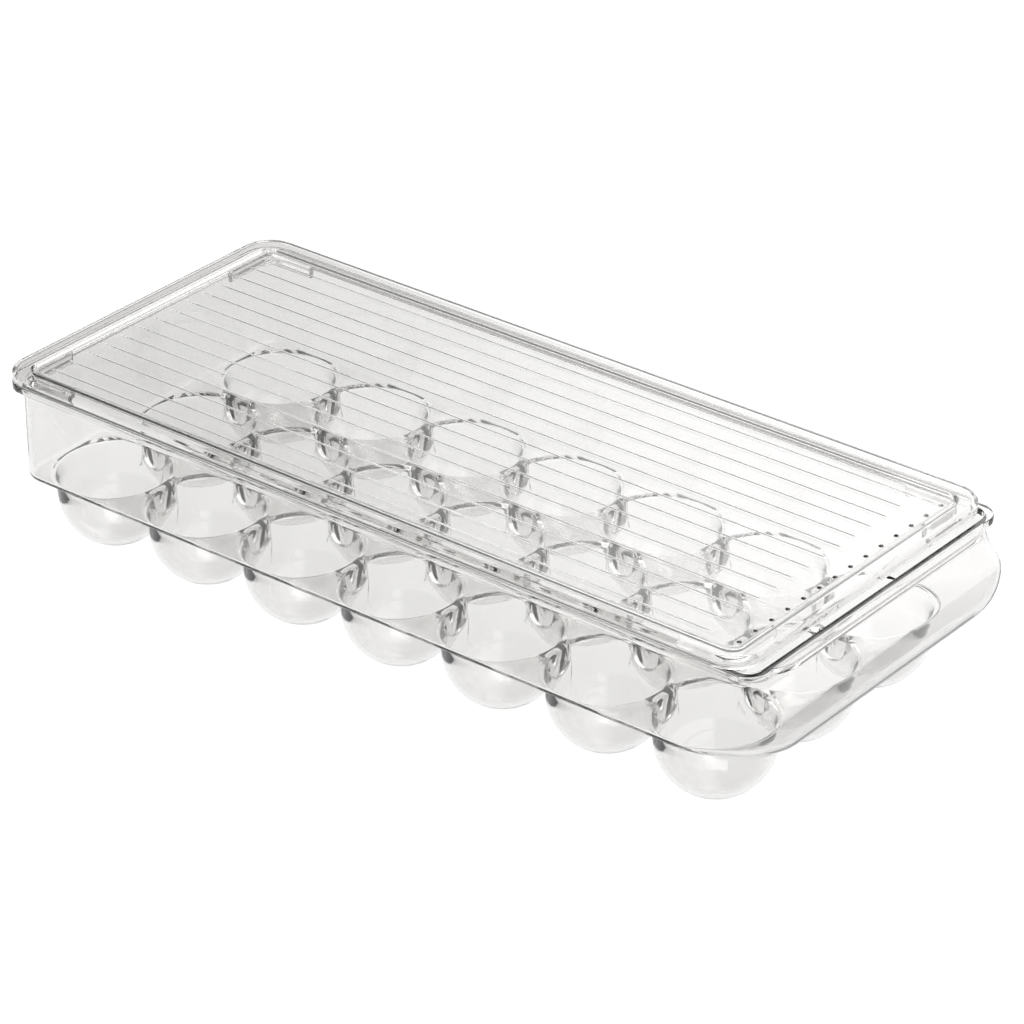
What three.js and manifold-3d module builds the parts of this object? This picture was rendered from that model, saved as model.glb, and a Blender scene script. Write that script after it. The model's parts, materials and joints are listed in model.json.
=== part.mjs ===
// Lidded egg tray for a refrigerator shelf: a clear moulded tray with 3 x 7 egg cups and a pull grip at
// one end, and a clear ribbed lid that lifts straight off. Millimetres, +Z up. The origin is under the
// middle of the whole object, on the surface that the cups stand on; +X points to the grip end.
//
// The tray is one moulding and the lid is another. Each is divided here into its cups, walls, rim and
// panel, which meet with a small seam, so that every hollow stays open.
import * as THREE from 'three';
import { mergeVertices } from 'three/addons/utils/BufferGeometryUtils.js';
import Module from 'manifold-3d';

const wasm = await Module();
wasm.setup();

// ---- driving dimensions ----
const ROWS = 3;
const COLUMNS = 7;
const CUP_PITCH = 50;
const FIRST_CUP_X = -156;          // centre of the first column; the last one is six pitches along
const WALL = 1.7;                  // thickness of the mouldings
const SEAM = 0.3;                  // gap between neighbouring regions of one moulding

const DECK_TOP = 31.5;             // flat land between the cups
const DECK_BOTTOM = DECK_TOP - WALL;
const CUP_RADIUS = 23.4;           // outside, at the widest
const CUP_CENTRE_Z = 22.4;         // height of the widest point of the bowl
const CUP_MOUTH_RADIUS = 25.1;     // outer edge of the rounded mouth
const MOUTH_ROUNDING = 3;
const FOOT_RADIUS = 7.4;           // flat foot under each cup
const WEB_RADIUS = 6.5;            // U-shaped web that joins neighbouring cups below the deck
const WEB_CENTRE_Z = DECK_TOP - 5.5;

const RIM_TOP = 72.7;
const RIM_THICKNESS = 3;
const LEFT_WALL_X = -182.6;        // outer face of the plain end wall, at the deck
const HALF_WIDTH = 76.8;           // outer face of the long walls, at the deck
const DRAFT = 1.2;                 // how far the walls lean out between deck and rim
const LEFT_CORNER = 9;
const RIM_LEFT_X = -187.4;
const RIM_HALF_WIDTH = 79.6;
const RIM_RIGHT_X = 180.5;         // rim beside the pull lip
const RIM_CORNER = 9;
const LIP_X = 184;                 // outer edge of the pull lip
const LIP_HALF_WIDTH = 68;
const LIP_CORNER = 10;

// The grip end wall from the deck up: a rounded belly, then a neck for the fingers under the lip.
// Each row is height, distance of the outer face, and corner radius in plan.
const GRIP_PROFILE = [
  [DECK_BOTTOM, 170, 26.8],
  [32.5, 176.5, 25.5],
  [36.5, 183.4, 22],
  [42, 187.4, 17],
  [49.5, 188.5, 12.6],
  [56, 187.2, 10.3],
  [61, 182.4, 9.6],
  [66, 179.6, 8.6],
  [RIM_TOP, 179, 8],
];

const LID_LEFT_X = -188.5;
const LID_RIGHT_X = 175.3;
const LID_HALF_WIDTH = 80.1;
const LID_CORNER = 13;
const LID_BOTTOM = RIM_TOP + SEAM;
const LID_TOP = 77.7;
const LID_BORDER = 9.5;            // width of the raised border around the panel
const PANEL_TOP = 75.7;
const PANEL_BOTTOM = PANEL_TOP - WALL;
const RIB_COUNT = 14;
const RIB_PITCH = 9.83;
const RIB_WIDTH = 1.4;
const RIB_HEIGHT = 0.6;
const RIB_END_GAP = 4;             // plain strip between the ribs and the border at the plain end
const PIP_X = 163;                 // row of small pips that ends the ribs at the grip end
const PIP_RADIUS = 0.8;
const LOCATOR_LEG = 25;            // L-shaped ridges under the corners that drop into the tray's mouth
const LOCATOR_DEPTH = 4;
const LOCATOR_INSET = 8;

const CORNER_STEPS = 4;
const CUP_STEPS = 16;
const BOWL_STEPS = 4;
const WEB_STEPS = 6;
const PIP_STEPS = 6;

// ---- solids ----
function solidOf(geometry) {
  const bare = geometry.index ? geometry.toNonIndexed() : geometry.clone();
  bare.deleteAttribute('normal');
  bare.deleteAttribute('uv');
  const merged = mergeVertices(bare, 1e-4);
  return new wasm.Manifold(new wasm.Mesh({
    numProp: 3,
    vertProperties: new Float32Array(merged.attributes.position.array),
    triVerts: new Uint32Array(merged.index.array),
  }));
}

function geometryOf(solid) {
  const mesh = solid.getMesh();
  const geometry = new THREE.BufferGeometry();
  geometry.setAttribute('position', new THREE.BufferAttribute(new Float32Array(mesh.vertProperties), 3));
  geometry.setIndex(new THREE.BufferAttribute(new Uint32Array(mesh.triVerts), 1));
  geometry.computeVertexNormals();
  return geometry;
}

function box(low, high) {
  const size = high.map((value, axis) => value - low[axis]);
  const geometry = new THREE.BoxGeometry(...size);
  geometry.translate(...low.map((value, axis) => value + size[axis] / 2));
  return solidOf(geometry);
}

// Points of a rounded rectangle, anticlockwise, with its own radius at each end.
function outline({ left, right, half, leftRadius, rightRadius }) {
  const corners = [
    [right - rightRadius, -half + rightRadius, rightRadius, -Math.PI / 2],
    [right - rightRadius, half - rightRadius, rightRadius, 0],
    [left + leftRadius, half - leftRadius, leftRadius, Math.PI / 2],
    [left + leftRadius, -half + leftRadius, leftRadius, Math.PI],
  ];
  return corners.flatMap(([x, y, radius, start]) => Array.from({ length: CORNER_STEPS + 1 }, (_, step) => {
    const angle = start + (step / CORNER_STEPS) * Math.PI / 2;
    return [x + radius * Math.cos(angle), y + radius * Math.sin(angle)];
  }));
}

function inset(shape, distance) {
  return {
    left: shape.left + distance,
    right: shape.right - distance,
    half: shape.half - distance,
    leftRadius: Math.max(shape.leftRadius - distance, 0.5),
    rightRadius: Math.max(shape.rightRadius - distance, 0.5),
  };
}

// A closed solid through outlines stacked in height, all with the same number of points.
function loft(levels) {
  const rings = levels.map(([z, shape]) => outline(shape).map(([x, y]) => [x, y, z]));
  const count = rings[0].length;
  const vertices = rings.flat(2);
  const faces = [];
  for (let ring = 0; ring + 1 < rings.length; ring += 1) {
    for (let point = 0; point < count; point += 1) {
      const next = (point + 1) % count;
      const a = ring * count + point;
      const b = ring * count + next;
      faces.push(a, b, b + count, a, b + count, a + count);
    }
  }
  const topStart = (rings.length - 1) * count;
  for (let point = 1; point + 1 < count; point += 1) {
    faces.push(0, point + 1, point);
    faces.push(topStart, topStart + point, topStart + point + 1);
  }
  const geometry = new THREE.BufferGeometry();
  geometry.setAttribute('position', new THREE.BufferAttribute(new Float32Array(vertices), 3));
  geometry.setIndex(faces);
  return solidOf(geometry);
}

function plate(shape, bottom, top) {
  return loft([[bottom, shape], [top, shape]]);
}

// ---- tray walls ----
function wallShape([z, right, rightRadius]) {
  const lean = DRAFT * (z - DECK_BOTTOM) / (RIM_TOP - DECK_BOTTOM);
  return { left: LEFT_WALL_X - lean, right, half: HALF_WIDTH + lean, leftRadius: LEFT_CORNER, rightRadius };
}

const wallLevels = GRIP_PROFILE.map((row) => [row[0], wallShape(row)]);
const wallOuter = loft(wallLevels);
const wallInner = loft([
  [DECK_BOTTOM - 1, inset(wallLevels[0][1], WALL)],
  ...wallLevels.map(([z, shape]) => [z, inset(shape, WALL)]),
  [RIM_TOP + 1, inset(wallLevels.at(-1)[1], WALL)],
]);
const walls = wallOuter.subtract(wallInner);

const FAR = 300;
const LEFT_CUT = LEFT_WALL_X + LEFT_CORNER + 2;
const RIGHT_CUT = FIRST_CUP_X + (COLUMNS - 1) * CUP_PITCH;

function wallPart(lowX, highX, lowY, highY) {
  return walls.intersect(box([lowX, lowY, 0], [highX, highY, FAR]));
}

const rimShape = {
  left: RIM_LEFT_X,
  right: RIM_RIGHT_X,
  half: RIM_HALF_WIDTH,
  leftRadius: RIM_CORNER + 2,
  rightRadius: RIM_CORNER,
};
const lipShape = {
  left: 0, right: LIP_X, half: LIP_HALF_WIDTH, leftRadius: LIP_CORNER, rightRadius: LIP_CORNER,
};

function rimFlange() {
  const bottom = RIM_TOP - RIM_THICKNESS;
  const opening = inset(wallShape(GRIP_PROFILE.at(-1)), -SEAM);
  return plate(rimShape, bottom, RIM_TOP)
    .add(plate(lipShape, bottom, RIM_TOP))
    .subtract(plate(opening, bottom - 1, RIM_TOP + 1));
}

// ---- egg cups ----
function bowl(radius, footZ, footRadius, mouth) {
  const rise = CUP_CENTRE_Z - footZ;
  const start = Math.asin(Math.min(footRadius / Math.hypot(footRadius, rise), 1));
  const profile = [new THREE.Vector2(0, footZ)];
  for (let step = 0; step <= BOWL_STEPS; step += 1) {
    const angle = start + (step / BOWL_STEPS) * (Math.PI / 2 - start);
    const reach = THREE.MathUtils.lerp(Math.hypot(footRadius, rise), radius, step / BOWL_STEPS);
    profile.push(new THREE.Vector2(reach * Math.sin(angle), CUP_CENTRE_Z - reach * Math.cos(angle)));
  }
  mouth.forEach(([r, z]) => profile.push(new THREE.Vector2(r, z)));
  profile.push(new THREE.Vector2(0, mouth.at(-1)[1]));
  const geometry = new THREE.LatheGeometry(profile, CUP_STEPS);
  geometry.rotateX(Math.PI / 2);
  return solidOf(geometry);
}

function bowlOuter() {
  return bowl(CUP_RADIUS, 0, FOOT_RADIUS, [[CUP_RADIUS + 0.4, DECK_BOTTOM + 0.5]]);
}

function bowlInner() {
  const throat = CUP_MOUTH_RADIUS - MOUTH_ROUNDING;
  return bowl(CUP_RADIUS - WALL, WALL, FOOT_RADIUS - 0.5, [
    [throat, DECK_TOP - MOUTH_ROUNDING],
    [CUP_MOUTH_RADIUS, DECK_TOP],
    [CUP_MOUTH_RADIUS, DECK_TOP + 2],
  ]);
}

// The half of a web that belongs to one cup: rounded underneath, and as tall as the deck.
function halfWeb(turn) {
  const bar = new THREE.CylinderGeometry(WEB_RADIUS, WEB_RADIUS, CUP_PITCH, 2 * WEB_STEPS);
  bar.rotateZ(Math.PI / 2);
  bar.translate(CUP_PITCH / 2, 0, WEB_CENTRE_Z);
  const above = box([0, -WEB_RADIUS, WEB_CENTRE_Z], [CUP_PITCH, WEB_RADIUS, DECK_BOTTOM + 0.5]);
  return solidOf(bar).add(above).rotate([0, 0, THREE.MathUtils.radToDeg(turn)]);
}

function eggCup(row, column) {
  const x = FIRST_CUP_X + column * CUP_PITCH;
  const y = (row - (ROWS - 1) / 2) * CUP_PITCH;
  const half = CUP_PITCH / 2 - SEAM / 2;
  const neighbours = [
    [column < COLUMNS - 1, 0],
    [row < ROWS - 1, Math.PI / 2],
    [column > 0, Math.PI],
    [row > 0, -Math.PI / 2],
  ].filter(([present]) => present).map(([, turn]) => turn);
  const reach = [
    column > 0 ? half : FAR,
    column < COLUMNS - 1 ? half : FAR,
    row > 0 ? half : FAR,
    row < ROWS - 1 ? half : FAR,
  ];
  const cell = box([-reach[0], -reach[2], -1], [reach[1], reach[3], DECK_TOP]);
  const deckShape = inset(wallLevels[0][1], WALL + SEAM);
  const deck = plate(deckShape, DECK_BOTTOM, DECK_TOP).translate([-x, -y, 0]);
  let solid = deck.add(bowlOuter());
  neighbours.forEach((turn) => { solid = solid.add(halfWeb(turn)); });
  solid = solid.intersect(cell).subtract(bowlInner());
  return { solid, position: [x, y, 0] };
}

// ---- lid ----
const lidShape = {
  left: LID_LEFT_X, right: LID_RIGHT_X, half: LID_HALF_WIDTH, leftRadius: LID_CORNER, rightRadius: LID_CORNER,
};

// The raised border is a channel: an outer skirt, a flat top and an inner wall that carries the panel.
function lidBorder() {
  const block = plate(lidShape, LID_BOTTOM, LID_TOP);
  const opening = plate(inset(lidShape, LID_BORDER), LID_BOTTOM - 1, LID_TOP + 1);
  const channel = plate(inset(lidShape, WALL), LID_BOTTOM - 1, LID_TOP - WALL)
    .subtract(plate(inset(lidShape, LID_BORDER - WALL), LID_BOTTOM - 2, LID_TOP));
  return block.subtract(opening).subtract(channel);
}

function lidPanel() {
  const shape = inset(lidShape, LID_BORDER + SEAM);
  let panel = plate(shape, PANEL_BOTTOM, PANEL_TOP);
  for (let rib = 0; rib < RIB_COUNT; rib += 1) {
    const y = (rib - (RIB_COUNT - 1) / 2) * RIB_PITCH;
    const low = [shape.left + RIB_END_GAP, y - RIB_WIDTH / 2, PANEL_TOP - RIB_HEIGHT];
    const high = [PIP_X - RIB_PITCH, y + RIB_WIDTH / 2, PANEL_TOP + RIB_HEIGHT];
    panel = panel.add(box(low, high));
    const pip = new THREE.CylinderGeometry(PIP_RADIUS, PIP_RADIUS, 2 * RIB_HEIGHT, PIP_STEPS);
    pip.rotateX(Math.PI / 2);
    pip.translate(PIP_X, y, PANEL_TOP);
    panel = panel.add(solidOf(pip));
  }
  return panel;
}

// One L-shaped ridge; endSign and sideSign choose the corner.
function lidLocator(endSign, sideSign) {
  const line = inset(lidShape, LOCATOR_INSET);
  const top = LID_BOTTOM - SEAM;
  const ridge = plate(line, top - LOCATOR_DEPTH, top)
    .subtract(plate(inset(line, WALL), top - LOCATOR_DEPTH - 1, top + 1));
  const end = endSign < 0 ? line.left : line.right;
  const side = sideSign * line.half;
  const low = [Math.min(end, end - endSign * LOCATOR_LEG), Math.min(side, side - sideSign * LOCATOR_LEG), 0];
  const high = [Math.max(end, end - endSign * LOCATOR_LEG), Math.max(side, side - sideSign * LOCATOR_LEG), FAR];
  return ridge.intersect(box(low, high));
}

// ---- the object ----
const clearTray = () => new THREE.MeshStandardMaterial({ color: 0xe9ebea, roughness: 0.08, metalness: 0 });
const clearLid = () => new THREE.MeshStandardMaterial({ color: 0xdfe1df, roughness: 0.1, metalness: 0 });

function piece(name, solid, material, position = [0, 0, 0]) {
  const mesh = new THREE.Mesh(geometryOf(solid), material);
  mesh.name = name;
  mesh.position.set(...position);
  return mesh;
}

const tray = new THREE.Group();
for (let row = 0; row < ROWS; row += 1) {
  for (let column = 0; column < COLUMNS; column += 1) {
    const { solid, position } = eggCup(row, column);
    tray.add(piece(`egg_cup_${row + 1}_${column + 1}`, solid, clearTray(), position));
  }
}
const straightLeft = LEFT_CUT + SEAM / 2;
const straightRight = RIGHT_CUT - SEAM / 2;
tray.add(piece('tray_front_wall', wallPart(straightLeft, straightRight, -FAR, 0), clearTray()));
tray.add(piece('tray_back_wall', wallPart(straightLeft, straightRight, 0, FAR), clearTray()));
tray.add(piece('tray_end_wall', wallPart(-FAR, LEFT_CUT - SEAM / 2, -FAR, FAR), clearTray()));
tray.add(piece('tray_grip_wall', wallPart(RIGHT_CUT + SEAM / 2, FAR, -FAR, FAR), clearTray()));
tray.add(piece('tray_rim_and_lip', rimFlange(), clearTray()));

const lid = new THREE.Group();
lid.add(piece('lid_border', lidBorder(), clearLid()));
lid.add(piece('lid_panel', lidPanel(), clearLid()));
lid.add(piece('lid_locator_end_front', lidLocator(-1, -1), clearLid()));
lid.add(piece('lid_locator_end_back', lidLocator(-1, 1), clearLid()));
lid.add(piece('lid_locator_grip_front', lidLocator(1, -1), clearLid()));
lid.add(piece('lid_locator_grip_back', lidLocator(1, 1), clearLid()));

const eggTray = new THREE.Group();
eggTray.add(tray, lid);
export default eggTray;
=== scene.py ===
"""Clear moulded egg tray with a lift-off ribbed lid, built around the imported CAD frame.

The tray and the lid are each one seamless, closed, thin-walled moulding. All sizes are in millimetres
while a moulding is being worked out, and are turned into metres when its mesh is made.
"""
import json
import math

import bpy
import numpy as np
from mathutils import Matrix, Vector


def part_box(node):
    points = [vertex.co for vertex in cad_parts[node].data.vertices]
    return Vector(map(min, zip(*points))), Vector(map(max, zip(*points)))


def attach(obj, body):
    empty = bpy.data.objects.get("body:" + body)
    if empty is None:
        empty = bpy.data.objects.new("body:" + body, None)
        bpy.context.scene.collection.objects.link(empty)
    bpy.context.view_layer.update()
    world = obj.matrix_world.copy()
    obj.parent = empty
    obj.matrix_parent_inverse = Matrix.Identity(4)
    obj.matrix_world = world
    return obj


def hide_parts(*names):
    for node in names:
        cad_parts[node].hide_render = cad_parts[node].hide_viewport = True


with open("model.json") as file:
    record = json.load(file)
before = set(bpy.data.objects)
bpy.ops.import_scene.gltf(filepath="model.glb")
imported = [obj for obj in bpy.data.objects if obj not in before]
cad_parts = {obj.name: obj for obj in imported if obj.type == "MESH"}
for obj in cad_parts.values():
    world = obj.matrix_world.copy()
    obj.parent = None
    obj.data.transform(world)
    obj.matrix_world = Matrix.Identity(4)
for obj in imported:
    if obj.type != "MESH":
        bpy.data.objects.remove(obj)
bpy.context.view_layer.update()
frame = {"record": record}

MM = 1000.0  # millimetres in a metre


def node_box(name):
    """Lowest and highest corner of a CAD node, in millimetres."""
    low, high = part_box(name)
    return np.array(low) * MM, np.array(high) * MM


# ---- sizes read from the frame ----
ROWS, COLUMNS = 3, 7
FIRST_LOW, FIRST_HIGH = node_box("egg_cup_2_2")
NEXT_LOW, _ = node_box("egg_cup_2_3")
PITCH = NEXT_LOW[0] - FIRST_LOW[0]
DECK_TOP = FIRST_HIGH[2]
FIRST_CUP_X = (FIRST_LOW[0] + FIRST_HIGH[0]) / 2 - PITCH
LAST_CUP_X = FIRST_CUP_X + (COLUMNS - 1) * PITCH
LAST_CUP_Y = (ROWS - 1) / 2 * PITCH
RIM_LOW, RIM_HIGH = node_box("tray_rim_and_lip")
BORDER_LOW, BORDER_HIGH = node_box("lid_border")
PANEL_LOW, PANEL_HIGH = node_box("lid_panel")
LOCATOR_LOW, LOCATOR_HIGH = node_box("lid_locator_end_front")

# ---- moulding details ----
WALL = 1.7             # thickness of the plastic
WEB_RADIUS = 7.2       # U-shaped web that joins neighbouring cups below the deck
WEB_CENTRE = DECK_TOP - 4.6
WEB_ROUNDING = 0.5     # where the web's sides meet the underside of the deck
WALL_INSIDE = PITCH / 2 + 0.1   # from the outer cups' centres to the walls beside them
WALL_ROUNDING = 0.9    # between the deck and the walls
CELL_EDGE = WALL_INSIDE - WALL_ROUNDING
WALL_LEAN = 0.8        # how far the walls lean out between deck and rim
WALL_ROWS = 22
LEFT_CORNER = 7.0
RIM_WALL = 1.0         # the walls thin out towards the rim, as drafted walls do
RIM_RIGHT = RIM_HIGH[0] - 3.5  # rim beside the pull lip
LIP_STRAIGHT = 58.0            # half length of the lip's straight edge
LIP_CORNER = 10.0

# Inner face of the grip end, from the deck up: height, distance along X, corner radius in plan.
GRIP_INSIDE = [
    (DECK_TOP, LAST_CUP_X + CELL_EDGE, CELL_EDGE),
    (32.6, 171.5, 23.4),
    (34.4, 176.4, 22.9),
    (37.8, 182.2, 20.0),
    (43.0, 185.9, 15.5),
    (49.5, 186.8, 11.0),
    (55.5, 185.7, 8.8),
    (60.0, 181.2, 8.0),
    (65.5, 178.0, 7.0),
    (72.7, 177.3, 6.3),
]

# ---- studio ----
SHEET_FACING = (0.777, 0.629, 0.0)   # direction from the object to the bright sheet
SHEET_EDGE = (-0.10, 0.10)           # where its brightness starts and ends its rise
SHEET_LIGHT = (0.25, 2.3)            # strength away from it and on it
CAMERA_PLACE = (0.94546, -1.16691, 0.88046)
CAMERA_AZIMUTH, CAMERA_ELEVATION = 38.77, 29.12
CAMERA_LENS, CAMERA_SENSOR = 155.63, 36
FLOOR_HALF = 12.0
FLOOR_Z = -0.0004                    # just under the cups' feet


class Sheet:
    """Vertices and faces collected piece by piece; vertices at one place are shared."""

    def __init__(self):
        self.points = []
        self.faces = []
        self.index = {}

    def add(self, point):
        key = tuple(int(round(value * 2000)) for value in point)
        if key not in self.index:
            self.index[key] = len(self.points)
            self.points.append(tuple(point))
        return self.index[key]

    def face(self, *corners):
        ring = [corner for at, corner in enumerate(corners) if corner != corners[at - 1]]
        if len(ring) > 2:
            self.faces.append(tuple(ring))


def skin(sheet, rows, closed=True):
    """Quads between rows of vertex numbers, each row as long as the next."""
    for low, high in zip(rows[:-1], rows[1:]):
        count = len(low)
        for at in range(count if closed else count - 1):
            after = (at + 1) % count
            sheet.face(low[at], high[at], high[after], low[after])


def smooth_curve(points, shares):
    """Positions on a smooth curve through the points, at shares of its length."""
    knots = np.array(points, float)
    padded = np.vstack([2 * knots[0] - knots[1], knots, 2 * knots[-1] - knots[-2]])
    fine = []
    for a, b, c, d in zip(padded[:-3], padded[1:-2], padded[2:-1], padded[3:]):
        for t in np.linspace(0, 1, 30, endpoint=False):
            fine.append(0.5 * (2 * b + (c - a) * t + (2 * a - 5 * b + 4 * c - d) * t**2
                               + (3 * b - a - 3 * c + d) * t**3))
    fine = np.array(fine + [knots[-1]])
    steps = np.hypot(*(fine[1:, :2] - fine[:-1, :2]).T)
    along = np.concatenate([[0], np.cumsum(steps)])
    return np.array([[np.interp(share * along[-1], along, fine[:, axis]) for axis in range(fine.shape[1])]
                     for share in shares])


# ---- the floor of the tray: cups, webs and deck ----
BOWL_CENTRE = 22.4     # height of the widest point of the bowl
BOWL_RINGS = 10
MOUTH_RINGS = 6


class CupFace:
    """Section of one face of a cup: flat foot, round bowl, then a rounded mouth up to the deck."""

    def __init__(self, foot, foot_z, bowl, throat, mouth, drop, deck):
        self.throat, self.mouth, self.drop, self.deck = throat, mouth, drop, deck
        start = math.asin(foot / bowl) + 0.06
        rise = [(bowl * math.sin(angle), BOWL_CENTRE - bowl * math.cos(angle))
                for angle in np.linspace(start, math.pi / 2, 40)]
        self.points = np.array([(foot * 0.96, foot_z), (foot * 1.06, foot_z + 0.12)] + rise
                               + [(throat, deck - drop), (throat + 0.2, deck)])

    def up_to(self, top):
        """The section from the foot to a height on the cup's wall."""
        below = self.points[self.points[:, 1] < top - 1e-6]
        last, above = below[-1], self.points[len(below)]
        share = (top - last[1]) / (above[1] - last[1])
        return np.vstack([below, last + (above - last) * share])


INNER = CupFace(foot=6.4, foot_z=WALL, bowl=21.7, throat=23.1, mouth=25.8, drop=2.4, deck=DECK_TOP)
OUTER = CupFace(foot=7.4, foot_z=0.0, bowl=23.4, throat=23.9, mouth=24.7, drop=0.8, deck=DECK_TOP - WALL)


def plain_side(count=18):
    return [(offset, 0.0) for offset in np.linspace(PITCH / 2, -PITCH / 2, count + 1)]


def web_side():
    """Offsets along a shared cell side and how far the web hangs below the deck there."""
    deck = OUTER.deck
    flank = WEB_RADIUS + WEB_ROUNDING
    half = [(PITCH / 2 - (PITCH / 2 - flank) * step / 3, deck) for step in range(3)]
    half += [(flank + WEB_ROUNDING * math.cos(angle), deck - WEB_ROUNDING + WEB_ROUNDING * math.sin(angle))
             for angle in np.linspace(math.pi / 2, math.pi, 5)]
    half += [(WEB_RADIUS * math.cos(angle), WEB_CENTRE - WEB_RADIUS * math.sin(angle))
             for angle in np.linspace(0, math.pi / 2, 6)]
    whole = half + [(-offset, height) for offset, height in reversed(half[:-1])]
    return [(offset, deck - height) for offset, height in whole]


def floor_outline(point, row, column):
    """Moves a point of the cell's square edge onto the tray's wall where the cell touches one."""
    x, y = point
    centre_x = FIRST_CUP_X + column * PITCH
    if column == 0:
        x = max(x, centre_x - CELL_EDGE)
    if column == COLUMNS - 1:
        x = min(x, centre_x + CELL_EDGE)
    y = float(np.clip(y, -LAST_CUP_Y - CELL_EDGE, LAST_CUP_Y + CELL_EDGE))
    for end, radius, at_end in ((-1, LEFT_CORNER, column == 0), (1, CELL_EDGE, column == COLUMNS - 1)):
        if not at_end or row == 1:
            continue
        side = row - 1
        corner_x = centre_x + end * (CELL_EDGE - radius)
        corner_y = side * (LAST_CUP_Y + CELL_EDGE - radius)
        away = np.array([(x - corner_x) * end, (y - corner_y) * side])
        if min(away) > 0:
            if away[1] > away[0]:
                turn = math.pi / 2 - math.pi / 4 * away[0] / away[1]
            else:
                turn = math.pi / 4 * away[1] / away[0]
            x = corner_x + end * radius * math.cos(turn)
            y = corner_y + side * radius * math.sin(turn)
    return x, y


def cell_edge(row, column, shared_side):
    """Points round one cell, anticlockwise: place in plan and depth of the web there."""
    centre_x = FIRST_CUP_X + column * PITCH
    centre_y = (row - 1) * PITCH
    shared = [column < COLUMNS - 1, row < ROWS - 1, column > 0, row > 0]
    ring = []
    for quarter, has_neighbour in enumerate(shared):
        turn = quarter * math.pi / 2
        side = shared_side if has_neighbour else plain_side()
        for offset, depth in side[:-1]:
            across, along = PITCH / 2, -offset
            x = centre_x + across * math.cos(turn) - along * math.sin(turn)
            y = centre_y + across * math.sin(turn) + along * math.cos(turn)
            x, y = floor_outline((x, y), row, column)
            ring.append((x, y, depth))
    return (centre_x, centre_y), ring


def cup_line(face, centre, end, depth, even_angle):
    """Points from the foot of a cup, up its wall and over its mouth, to one point of the cell's edge.

    The last point keeps its own height if it has one; depth is how far a web hangs below the deck.
    """
    away = math.hypot(end[0] - centre[0], end[1] - centre[1])
    angle = math.atan2(end[1] - centre[1], end[0] - centre[0])
    reach = face.mouth + (away - face.mouth) * min(1.0, depth / 2)
    last = math.acos(np.clip(1 - (away - face.throat) / (reach - face.throat), 0, 1))
    top = end[2] + face.drop * (1 - math.sin(last)) if len(end) > 2 else face.deck - depth
    bowl = face.up_to(top - face.drop)
    steps = np.hypot(*(bowl[1:] - bowl[:-1]).T)
    along = np.concatenate([[0], np.cumsum(steps)])
    turn = (angle - even_angle + math.pi) % (2 * math.pi) - math.pi
    line = []
    for share in np.linspace(0, 1, BOWL_RINGS + 1):
        radius = np.interp(share * along[-1], along, bowl[:, 0])
        z = np.interp(share * along[-1], along, bowl[:, 1])
        at = even_angle + turn * min(1.0, share * 1.25)
        line.append((centre[0] + radius * math.cos(at), centre[1] + radius * math.sin(at), z))
    throat = bowl[-1][0]
    last = math.acos(np.clip(1 - (away - throat) / (reach - throat), 0, 1))
    for share in np.linspace(0, 1, MOUTH_RINGS + 1)[1:]:
        radius = throat + (reach - throat) * (1 - math.cos(share * last))
        z = top - face.drop * (1 - math.sin(share * last))
        line.append((centre[0] + radius * math.cos(angle), centre[1] + radius * math.sin(angle), z))
    line.append((end[0], end[1], end[2] if len(end) > 2 else line[-1][2]))
    return line


def add_floor(sheet, face, shared_side, carried=None):
    """All the cells of one face of the tray's floor; carried gives the places of points on its outline."""
    for row in range(ROWS):
        for column in range(COLUMNS):
            centre, edge = cell_edge(row, column, shared_side)
            start = math.atan2(edge[0][1] - centre[1], edge[0][0] - centre[0])
            lines = []
            for at, (x, y, depth) in enumerate(edge):
                end = carried.get(plan_key(x, y), (x, y)) if carried else (x, y)
                lines.append(cup_line(face, centre, end, depth, start + 2 * math.pi * at / len(edge)))
            rings = [[sheet.add(line[ring]) for line in lines] for ring in range(len(lines[0]))]
            middle = sheet.add((centre[0], centre[1], face.points[0][1]))
            for at, number in enumerate(rings[0]):
                sheet.face(middle, number, rings[0][(at + 1) % len(rings[0])])
            skin(sheet, rings)


def plan_key(x, y):
    return round(x, 2), round(y, 2)


# ---- the tray's walls ----
class Outline:
    """A rounded rectangle in plan that points of the floor's edge are carried onto."""

    def __init__(self, left, right, half, left_radius, right_radius):
        self.left, self.right, self.half = left, right, half
        self.left_radius, self.right_radius = left_radius, right_radius

    def grown(self, by):
        return Outline(self.left - by, self.right + by, self.half + by,
                       self.left_radius + by, self.right_radius + by)

    def place(self, mark):
        """Where a mark lies on this outline: a mark is its part, its place along the part, and its side."""
        part, share, side = mark
        end_x = self.right - self.right_radius
        if part == "long":
            even_to = LAST_CUP_X - PITCH / 2
            if share >= even_to:
                share = np.interp(share, (even_to, LAST_CUP_X), (even_to, end_x))
            return share, side * self.half
        if part == "grip":
            return self.right, share * (self.half - self.right_radius)
        if part == "plain":
            return self.left, share * (self.half - self.left_radius)
        radius = self.right_radius if part == "grip corner" else self.left_radius
        end = 1 if part == "grip corner" else -1
        centre_x = end_x if end > 0 else self.left + radius
        centre_y = side * (self.half - radius)
        return centre_x + end * radius * math.cos(share), centre_y + side * radius * math.sin(share)


FLOOR_EDGE = Outline(FIRST_CUP_X - CELL_EDGE, LAST_CUP_X + CELL_EDGE, LAST_CUP_Y + CELL_EDGE,
                     LEFT_CORNER, CELL_EDGE)


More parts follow.
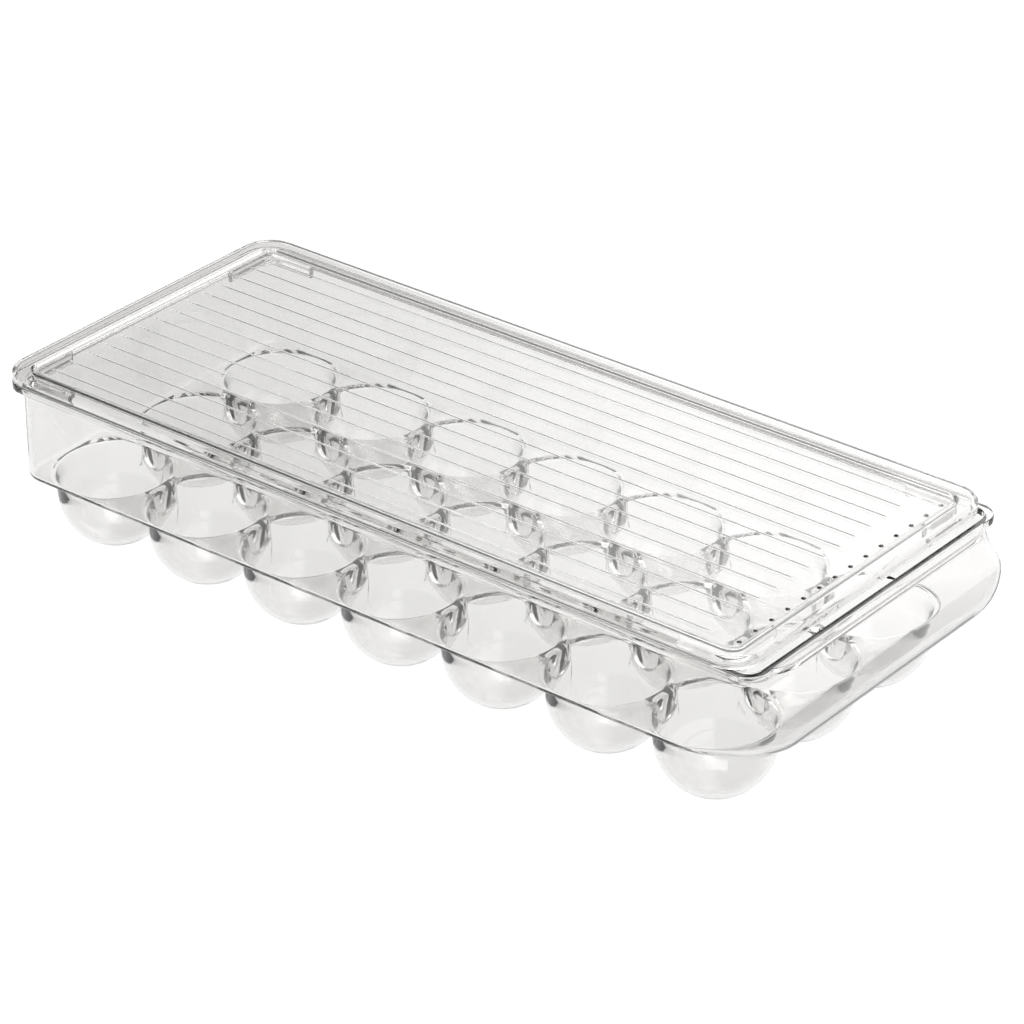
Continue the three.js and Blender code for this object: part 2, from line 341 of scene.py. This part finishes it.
def mark_of(x, y):
    """The place of a floor-edge point on its outline, in a form that any outline can place again."""
    edge = FLOOR_EDGE
    side = 1 if y > 0 else -1
    grip_x = edge.right - edge.right_radius
    grip_y = edge.half - edge.right_radius
    plain_x = edge.left + edge.left_radius
    plain_y = edge.half - edge.left_radius
    if x >= grip_x and abs(y) > grip_y:
        return "grip corner", math.atan2(abs(y) - grip_y, x - grip_x), side
    if x <= plain_x and abs(y) > plain_y:
        return "plain corner", math.atan2(abs(y) - plain_y, plain_x - x), side
    if x >= grip_x:
        return "grip", y / grip_y, side
    if x <= plain_x:
        return "plain", y / plain_y, side
    return "long", x, side


def boundary_loop(sheet):
    """Vertex numbers round the open edge of a sheet, anticlockwise."""
    sides = {pair for face in sheet.faces for pair in zip(face, face[1:] + face[:1])}
    follows = {start: end for start, end in sides if (end, start) not in sides}
    loop = [next(iter(follows))]
    while follows[loop[-1]] != loop[0]:
        loop.append(follows[loop[-1]])
    return loop


RIM_BEGINS = RIM_LOW[2] - 0.8


def wall_outline(height, right, corner):
    """Outline of the walls' inner face at one height."""
    rise = height - DECK_TOP
    if rise < WALL_ROUNDING:
        out = math.sqrt(WALL_ROUNDING**2 - (WALL_ROUNDING - rise) ** 2)
    else:
        out = WALL_ROUNDING + WALL_LEAN * (rise - WALL_ROUNDING) / (RIM_HIGH[2] - DECK_TOP)
    return Outline(FLOOR_EDGE.left - out, right, FLOOR_EDGE.half + out, LEFT_CORNER + out * 0.5, corner)


def wall_rows():
    """Height and outline of each row of the inner wall, close together near the deck."""
    fine = smooth_curve(GRIP_INSIDE, np.linspace(0, 1, 400))
    fine = fine[fine[:, 0] <= RIM_BEGINS]
    shares = [0.006, 0.014, 0.03, 0.055] + list(np.linspace(0.085, 1, WALL_ROWS - 4))
    rows = [fine[min(int(share * (len(fine) - 1)), len(fine) - 1)] for share in shares]
    return [(row[0], wall_outline(*row)) for row in rows]


class Flange(Outline):
    """The rim's outline, with the pull lip standing out from its grip end."""

    def grown(self, by):
        return Flange(self.left - by, self.right + by, self.half + by,
                      self.left_radius + by, self.right_radius + by)

    def place(self, mark):
        x, y = super().place(mark)
        if not mark[0].startswith("grip"):
            return x, y
        past = min(max(abs(y) - LIP_STRAIGHT, 0) / LIP_CORNER, 1)
        lip = self.right + LIP_CORNER * (math.sqrt(1 - past**2) - 1) + RIM_HIGH[0] - RIM_RIGHT
        return max(x, lip), y


def rim_rows(inside):
    """The mouth, the flange with its pull lip, and its underside, back to the outer face of the wall."""
    flange = Flange(RIM_LOW[0], RIM_RIGHT, RIM_HIGH[1], 10.5, 8.5)
    top, bottom = RIM_HIGH[2], RIM_LOW[2]
    rows = [(top - 0.7, inside), (top - 0.5, inside)]
    for angle in (30, 60, 90):
        turn = math.radians(angle)
        rows.append((top - 0.5 + 0.5 * math.sin(turn), inside.grown(0.5 - 0.5 * math.cos(turn))))
    rows += [(top, inside.grown(0.7)), (top, flange.grown(-0.7))]
    for angle in (0, 30, 60, 90):
        turn = math.radians(angle)
        rows.append((top - 0.5 + 0.5 * math.cos(turn), flange.grown(-0.5 + 0.5 * math.sin(turn))))
    for angle in (0, 30, 60, 90):
        turn = math.radians(angle)
        rows.append((bottom + 0.5 - 0.5 * math.sin(turn), flange.grown(-0.5 + 0.5 * math.cos(turn))))
    rows += [(bottom, flange.grown(-0.8)), (bottom, inside.grown(RIM_WALL + 1.0))]
    for angle in (0, 30, 60):
        turn = math.radians(angle)
        rows.append((bottom - 0.8 + 0.8 * math.cos(turn),
                     inside.grown(RIM_WALL + 0.8 - 0.8 * math.sin(turn))))
    return rows


def vertex_normals(points, faces):
    """Area-weighted normals of a sheet."""
    points = np.array(points)
    normals = np.zeros_like(points)
    for face in faces:
        corners = points[list(face)]
        if len(face) == 4:
            normal = np.cross(corners[2] - corners[0], corners[3] - corners[1])
        else:
            normal = np.cross(corners[1] - corners[0], corners[2] - corners[0])
        normals[list(face)] += normal
    return normals / np.maximum(np.linalg.norm(normals, axis=1), 1e-12)[:, None]


def wall_thickness(height):
    """Thickness of the walls, thinner towards the rim."""
    return np.interp(height, (DECK_TOP + 5, RIM_BEGINS), (WALL, RIM_WALL))


def tray_mesh():
    """The whole tray: its inner face, the rim, the outer face of the walls and the underside."""
    sheet = Sheet()
    add_floor(sheet, INNER, plain_side())
    edge = boundary_loop(sheet)
    marks = [mark_of(*sheet.points[number][:2]) for number in edge]
    rows = [edge]
    inner = wall_rows()
    for height, outline in inner:
        rows.append([sheet.add((*outline.place(mark), height)) for mark in marks])
    skin(sheet, rows)
    normals = vertex_normals(sheet.points, sheet.faces)
    outer = [[tuple(np.array(sheet.points[number])
                    - normals[number] * wall_thickness(sheet.points[number][2])) for number in row]
             for row in rows]
    carried = {plan_key(*sheet.points[number][:2]): place for number, place in zip(edge, outer[0])}
    closing = [rows[-1]]
    for height, outline in rim_rows(inner[-1][1]):
        closing.append([sheet.add((*outline.place(mark), height)) for mark in marks])
    for row in reversed(outer):
        closing.append([sheet.add(place) for place in row])
    skin(sheet, closing)
    underside = Sheet()
    add_floor(underside, OUTER, web_side(), carried)
    numbers = [sheet.add(place) for place in underside.points]
    for face in underside.faces:
        sheet.face(*(numbers[corner] for corner in reversed(face)))
    return sheet.points, sheet.faces


# ---- the lid ----
RIB_COUNT = 14
RIB_PITCH = 9.83
RIB_HALF = 0.5
RIB_HEIGHT = 0.14
PIP_X = 163.0
PIP_RADIUS = 0.85
PANEL_CORNER = 4.0


def sorted_lines(values):
    """Sorted grid lines, with those closer than a hair joined."""
    kept = []
    for value in sorted(values):
        if not kept or value - kept[-1] > 0.02:
            kept.append(float(value))
    return kept


def mirrored(values):
    return list(values) + [-value for value in values]


def mirrored_about(middle, steps):
    return [middle + step for step in mirrored(steps)]


def rib_positions():
    return [(rib - (RIB_COUNT - 1) / 2) * RIB_PITCH for rib in range(RIB_COUNT)]


def panel_lines(half_x, half_y, middle_x):
    """Grid lines of the panel along X and Y, fine at the corners, ribs, pips and locator ends."""
    corner = [0.25] + list(np.linspace(0, PANEL_CORNER, 6))
    leg_x = LOCATOR_HIGH[0]
    leg_y = -LOCATOR_HIGH[1]
    xs = [middle_x + value for value in mirrored([half_x - step for step in corner])]
    ys = mirrored([half_y - step for step in corner])
    leg_from_middle = middle_x - leg_x
    for step in (-0.9, -0.45, 0, 0.45):
        xs += [middle_x + value for value in mirrored([leg_from_middle + step])]
        ys += mirrored([leg_y + step])
    rib_start = middle_x - half_x + PANEL_CORNER + 0.6
    xs += [rib_start + step for step in (0, 0.4, 0.9, 1.5)]
    rib_end = PIP_X - RIB_PITCH
    xs += [rib_end - step for step in (0, 0.5, 1.2, 2.4)]
    xs += [PIP_X + step * PIP_RADIUS for step in (-1.3, -1, -0.6, -0.25, 0, 0.25, 0.6, 1, 1.3)]
    xs += list(np.linspace(rib_start + 4, rib_end - 4, 24))
    for y in rib_positions():
        ys += mirrored_about(y, [share * RIB_HALF for share in (0.3, 0.62, 1, 1.25, 1.7, 2.1)])
        ys.append(y)
        ys.append(y + RIB_PITCH / 2)
    ys = [y for y in ys if abs(y) <= half_y]
    return sorted_lines(xs), sorted_lines(ys), rib_start, rib_end


def panel_relief(x, y, rib_start, rib_end):
    """Height of ribs and pips above the panel."""
    nearest = min(rib_positions(), key=lambda rib: abs(rib - y))
    across = abs(y - nearest) / RIB_HALF
    lift = 0.0
    if across < 1:
        along = min((x - rib_start) / 1.5, (rib_end - x) / 2.4)
        fade = min(1.0, max(0.0, along))
        lift = RIB_HEIGHT * (0.5 + 0.5 * math.cos(math.pi * across)) * math.sin(fade * math.pi / 2)
    pip = math.hypot(x - PIP_X, y - nearest) / PIP_RADIUS
    if pip < 1:
        lift = max(lift, 0.75 * math.sqrt(1 - pip**2))
    return lift


def round_corner(x, y, half_x, half_y, middle_x):
    """Carries points near a square corner of the panel into a round one."""
    out_x = abs(x - middle_x) - (half_x - PANEL_CORNER)
    out_y = abs(y) - (half_y - PANEL_CORNER)
    if out_x <= 0 or out_y <= 0:
        return x, y
    a, b = out_x / PANEL_CORNER, out_y / PANEL_CORNER
    round_x = a * math.sqrt(1 - b * b / 2) * PANEL_CORNER
    round_y = b * math.sqrt(1 - a * a / 2) * PANEL_CORNER
    return (middle_x + math.copysign(half_x - PANEL_CORNER + round_x, x - middle_x),
            math.copysign(half_y - PANEL_CORNER + round_y, y))


def outward(x, y, half_x, half_y, middle_x):
    """Direction in plan away from the panel at a point of its edge."""
    out = np.array([abs(x - middle_x) - (half_x - PANEL_CORNER), abs(y) - (half_y - PANEL_CORNER)])
    out = np.maximum(out, 0)
    if out[0] > 0 and out[1] > 0:
        way = out / np.hypot(*out)
    else:
        way = np.array([1.0, 0.0]) if out[0] > 0 else np.array([0.0, 1.0])
    return way * np.array([math.copysign(1, x - middle_x), math.copysign(1, y)])


def arc(centre_out, centre_z, radius, start, end, steps):
    """Points (outward, height) on an arc, angles in degrees from outward towards up."""
    return [(centre_out + radius * math.cos(math.radians(angle)),
             centre_z + radius * math.sin(math.radians(angle)))
            for angle in np.linspace(start, end, steps)]


def border_profile(width, top, skirt_bottom, panel_top, panel_bottom, locator):
    """Section of the lid's border, from the panel's top edge over the rim to its underside.

    locator is how far the inner wall reaches below the panel.
    """
    thick = WALL
    foot = panel_bottom - locator
    hold = 0.2
    profile = arc(-0.5, panel_top + 0.5, 0.5, -90, 0, 4)[1:]
    profile += [(0, panel_top + 0.5 + hold), (0, top - 1.0 - hold)]
    profile += arc(1.0, top - 1.0, 1.0, 180, 90, 6)
    profile += [(1.0 + hold, top), (width - 1.6 - hold, top)]
    profile += arc(width - 1.6, top - 1.6, 1.6, 90, 0, 8)
    profile += [(width, top - 1.6 - hold), (width, skirt_bottom + 0.4 + hold)]
    profile += arc(width - 0.4, skirt_bottom + 0.4, 0.4, 0, -90, 3)
    profile += arc(width - thick + 0.4, skirt_bottom + 0.4, 0.4, -90, -180, 3)
    profile += [(width - thick, skirt_bottom + 0.4 + hold), (width - thick, top - thick - 0.8 - hold)]
    profile += arc(width - thick - 0.8, top - thick - 0.8, 0.8, 0, 90, 5)
    profile += [(width - thick - 0.8 - hold, top - thick), (thick + 0.6 + hold, top - thick)]
    profile += arc(thick + 0.6, top - thick - 0.6, 0.6, 90, 180, 4)
    profile += arc(thick - 0.4, foot + 0.4, 0.4, 0, -90, 3)
    profile += arc(0.4, foot + 0.4, 0.4, -90, -180, 3)
    return profile


def locator_depth(x, y):
    """How far the corner ridges reach down at a point of the panel's edge."""
    deep = PANEL_LOW[2] - LOCATOR_LOW[2]
    from_end = min(x - BORDER_LOW[0], BORDER_HIGH[0] - x)
    leg = LOCATOR_HIGH[0] - BORDER_LOW[0]
    past = max(from_end - leg, BORDER_HIGH[1] - abs(y) - (LOCATOR_HIGH[1] - BORDER_LOW[1]))
    return 0.5 + (deep - 0.5) * float(np.clip(-past / 0.45, 0, 1))


def lid_mesh():
    """The whole lid: ribbed top, plain underside, and the border's section carried round the edge."""
    width = BORDER_HIGH[0] - PANEL_HIGH[0] - 0.3
    middle_x = (BORDER_LOW[0] + BORDER_HIGH[0]) / 2
    half_x = (BORDER_HIGH[0] - BORDER_LOW[0]) / 2 - width
    half_y = BORDER_HIGH[1] - width
    panel_bottom = PANEL_LOW[2]
    panel_top = panel_bottom + WALL
    xs, ys, rib_start, rib_end = panel_lines(half_x, half_y, middle_x)
    sheet = Sheet()
    grids = []
    for on_top in (True, False):
        grid = []
        for x in xs:
            column = []
            for y in ys:
                px, py = round_corner(x, y, half_x, half_y, middle_x)
                lift = panel_relief(x, y, rib_start, rib_end) if on_top else 0
                column.append(sheet.add((px, py, panel_top + lift if on_top else panel_bottom)))
            grid.append(column)
        grids.append(grid)
        for left, right in zip(grid[:-1], grid[1:]):
            for at in range(len(ys) - 1):
                quad = (left[at], right[at], right[at + 1], left[at + 1])
                sheet.face(*(quad if on_top else reversed(quad)))
    last_x, last_y = len(xs) - 1, len(ys) - 1
    around = ([(at, 0) for at in range(last_x)] + [(last_x, at) for at in range(last_y)]
              + [(last_x - at, last_y) for at in range(last_x)] + [(0, last_y - at) for at in range(last_y)])
    top_edge = [grids[0][i][j] for i, j in around]
    bottom_edge = [grids[1][i][j] for i, j in around]
    columns = []
    for number in top_edge:
        x, y, _ = sheet.points[number]
        way = outward(x, y, half_x, half_y, middle_x)
        profile = border_profile(width, BORDER_HIGH[2], BORDER_LOW[2], panel_top, panel_bottom,
                                 locator_depth(x, y))
        columns.append([sheet.add((x + way[0] * out, y + way[1] * out, z)) for out, z in profile])
    rows = [top_edge] + [list(row) for row in zip(*columns)] + [bottom_edge]
    skin(sheet, rows)
    return sheet.points, sheet.faces


# ---- objects ----
def make_piece(name, points, faces, body, slot, material, nodes):
    """Adds one moulding, which rides a CAD body and stands in for all of its nodes."""
    mesh = bpy.data.meshes.new(name)
    mesh.from_pydata([tuple(np.array(point) / MM) for point in points], [], faces)
    mesh.validate()
    mesh.update()
    mesh.shade_smooth()
    piece = bpy.data.objects.new(name, mesh)
    bpy.context.scene.collection.objects.link(piece)
    mesh.materials.append(material)
    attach(piece, body)
    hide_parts(*nodes)
    return piece


def clear_plastic(name, tint, shade, body, density):
    """Polished clear plastic: slight tint that varies, faint haze, and the waviness of moulded faces.

    The body of the plastic takes up light, so that long ways through it, as in edges, look darker.
    """
    material = bpy.data.materials.new(name)
    material.use_nodes = True
    tree = material.node_tree
    surface = tree.nodes["Principled BSDF"]
    place = tree.nodes.new("ShaderNodeTexCoord")

    def noise(scale, detail):
        node = tree.nodes.new("ShaderNodeTexNoise")
        node.inputs["Scale"].default_value = scale
        node.inputs["Detail"].default_value = detail
        tree.links.new(place.outputs["Object"], node.inputs["Vector"])
        return node

    def ramp(source, low, high):
        node = tree.nodes.new("ShaderNodeValToRGB")
        node.color_ramp.elements[0].position = 0.3
        node.color_ramp.elements[0].color = (*low, 1)
        node.color_ramp.elements[1].position = 0.7
        node.color_ramp.elements[1].color = (*high, 1)
        tree.links.new(source.outputs["Fac"], node.inputs["Fac"])
        return node

    colour = ramp(noise(9, 2), shade, tint)
    tree.links.new(colour.outputs["Color"], surface.inputs["Base Color"])
    haze = ramp(noise(45, 4), (0.012,) * 3, (0.035,) * 3)
    tree.links.new(haze.outputs["Color"], surface.inputs["Roughness"])
    bump = tree.nodes.new("ShaderNodeBump")
    bump.inputs["Strength"].default_value = 0.015
    bump.inputs["Distance"].default_value = 0.0006
    tree.links.new(noise(55, 1).outputs["Fac"], bump.inputs["Height"])
    tree.links.new(bump.outputs["Normal"], surface.inputs["Normal"])
    depth = tree.nodes.new("ShaderNodeVolumeAbsorption")
    depth.inputs["Color"].default_value = (*body, 1)
    depth.inputs["Density"].default_value = density
    tree.links.new(depth.outputs["Volume"], tree.nodes["Material Output"].inputs["Volume"])
    surface.inputs["Transmission Weight"].default_value = 1.0
    surface.inputs["IOR"].default_value = 1.53
    return material


def make_floor():
    """A pale floor that glows evenly, like a lit sweep."""
    mesh = bpy.data.meshes.new("studio_floor")
    corners = [(-1, -1), (1, -1), (1, 1), (-1, 1)]
    mesh.from_pydata([(x * FLOOR_HALF, y * FLOOR_HALF, FLOOR_Z) for x, y in corners], [], [(0, 1, 2, 3)])
    floor = bpy.data.objects.new("studio_floor", mesh)
    bpy.context.scene.collection.objects.link(floor)
    material = bpy.data.materials.new("studio_floor")
    material.use_nodes = True
    tree = material.node_tree
    surface = tree.nodes["Principled BSDF"]
    surface.inputs["Base Color"].default_value = (0.05, 0.05, 0.05, 1)
    surface.inputs["Roughness"].default_value = 0.9
    surface.inputs["Emission Color"].default_value = (1, 1, 1, 1)
    surface.inputs["Emission Strength"].default_value = 1.0
    mesh.materials.append(material)


def make_world():
    """Soft studio surroundings: a large bright sheet to the back and right, dim grey to the left."""
    world = bpy.data.worlds.new("studio")
    bpy.context.scene.world = world
    world.use_nodes = True
    tree = world.node_tree
    background = tree.nodes["Background"]
    place = tree.nodes.new("ShaderNodeTexCoord")
    facing = tree.nodes.new("ShaderNodeVectorMath")
    facing.operation = "DOT_PRODUCT"
    facing.inputs[1].default_value = SHEET_FACING
    tree.links.new(place.outputs["Generated"], facing.inputs[0])
    spread = tree.nodes.new("ShaderNodeMapRange")
    spread.interpolation_type = "SMOOTHSTEP"
    for socket, value in zip(("From Min", "From Max", "To Min", "To Max"), SHEET_EDGE + SHEET_LIGHT):
        spread.inputs[socket].default_value = value
    tree.links.new(facing.outputs["Value"], spread.inputs["Value"])
    background.inputs["Color"].default_value = (1, 1, 1, 1)
    tree.links.new(spread.outputs["Result"], background.inputs["Strength"])


def make_light(name, place, target, size, power):
    data = bpy.data.lights.new(name, "AREA")
    data.shape = "RECTANGLE"
    data.size, data.size_y = size
    data.energy = power
    light = bpy.data.objects.new(name, data)
    light.location = place
    light.rotation_euler = (Vector(target) - Vector(place)).to_track_quat("-Z", "Y").to_euler()
    bpy.context.scene.collection.objects.link(light)


def make_camera():
    """A long lens, looking down on the near long side and the grip end."""
    azimuth, elevation = math.radians(CAMERA_AZIMUTH), math.radians(CAMERA_ELEVATION)
    back = Vector((math.sin(azimuth) * math.cos(elevation), -math.cos(azimuth) * math.cos(elevation),
                   math.sin(elevation)))
    data = bpy.data.cameras.new("camera")
    data.lens = CAMERA_LENS
    data.sensor_width = CAMERA_SENSOR
    camera = bpy.data.objects.new("camera", data)
    camera.location = CAMERA_PLACE
    camera.rotation_euler = (-back).to_track_quat("-Z", "Y").to_euler()
    bpy.context.scene.collection.objects.link(camera)
    bpy.context.scene.camera = camera


def main():
    make_camera()
    make_floor()
    make_world()
    make_light("overhead", (0, 0.2, 1.4), (0, 0, 0), (1.2, 0.6), 8)
    bodies = frame["record"]["behaviour"]["bodies"]
    tray_plastic = clear_plastic("tray_plastic", (0.915, 0.912, 0.907), (0.895, 0.892, 0.887),
                                 (0.5, 0.49, 0.47), 45)
    lid_plastic = clear_plastic("lid_plastic", (0.900, 0.897, 0.892), (0.880, 0.877, 0.872),
                                (0.5, 0.49, 0.47), 45)
    make_piece("tray_moulding", *tray_mesh(), "tray", "tray_plastic", tray_plastic, bodies["tray"])
    make_piece("lid_moulding", *lid_mesh(), "lid", "lid_plastic", lid_plastic, bodies["lid"])
    scene = bpy.context.scene
    scene.view_settings.view_transform = "Standard"
    scene.cycles.max_bounces = 32
    scene.cycles.transmission_bounces = 32
    scene.cycles.glossy_bounces = 12
    scene.cycles.use_denoising = True


main()
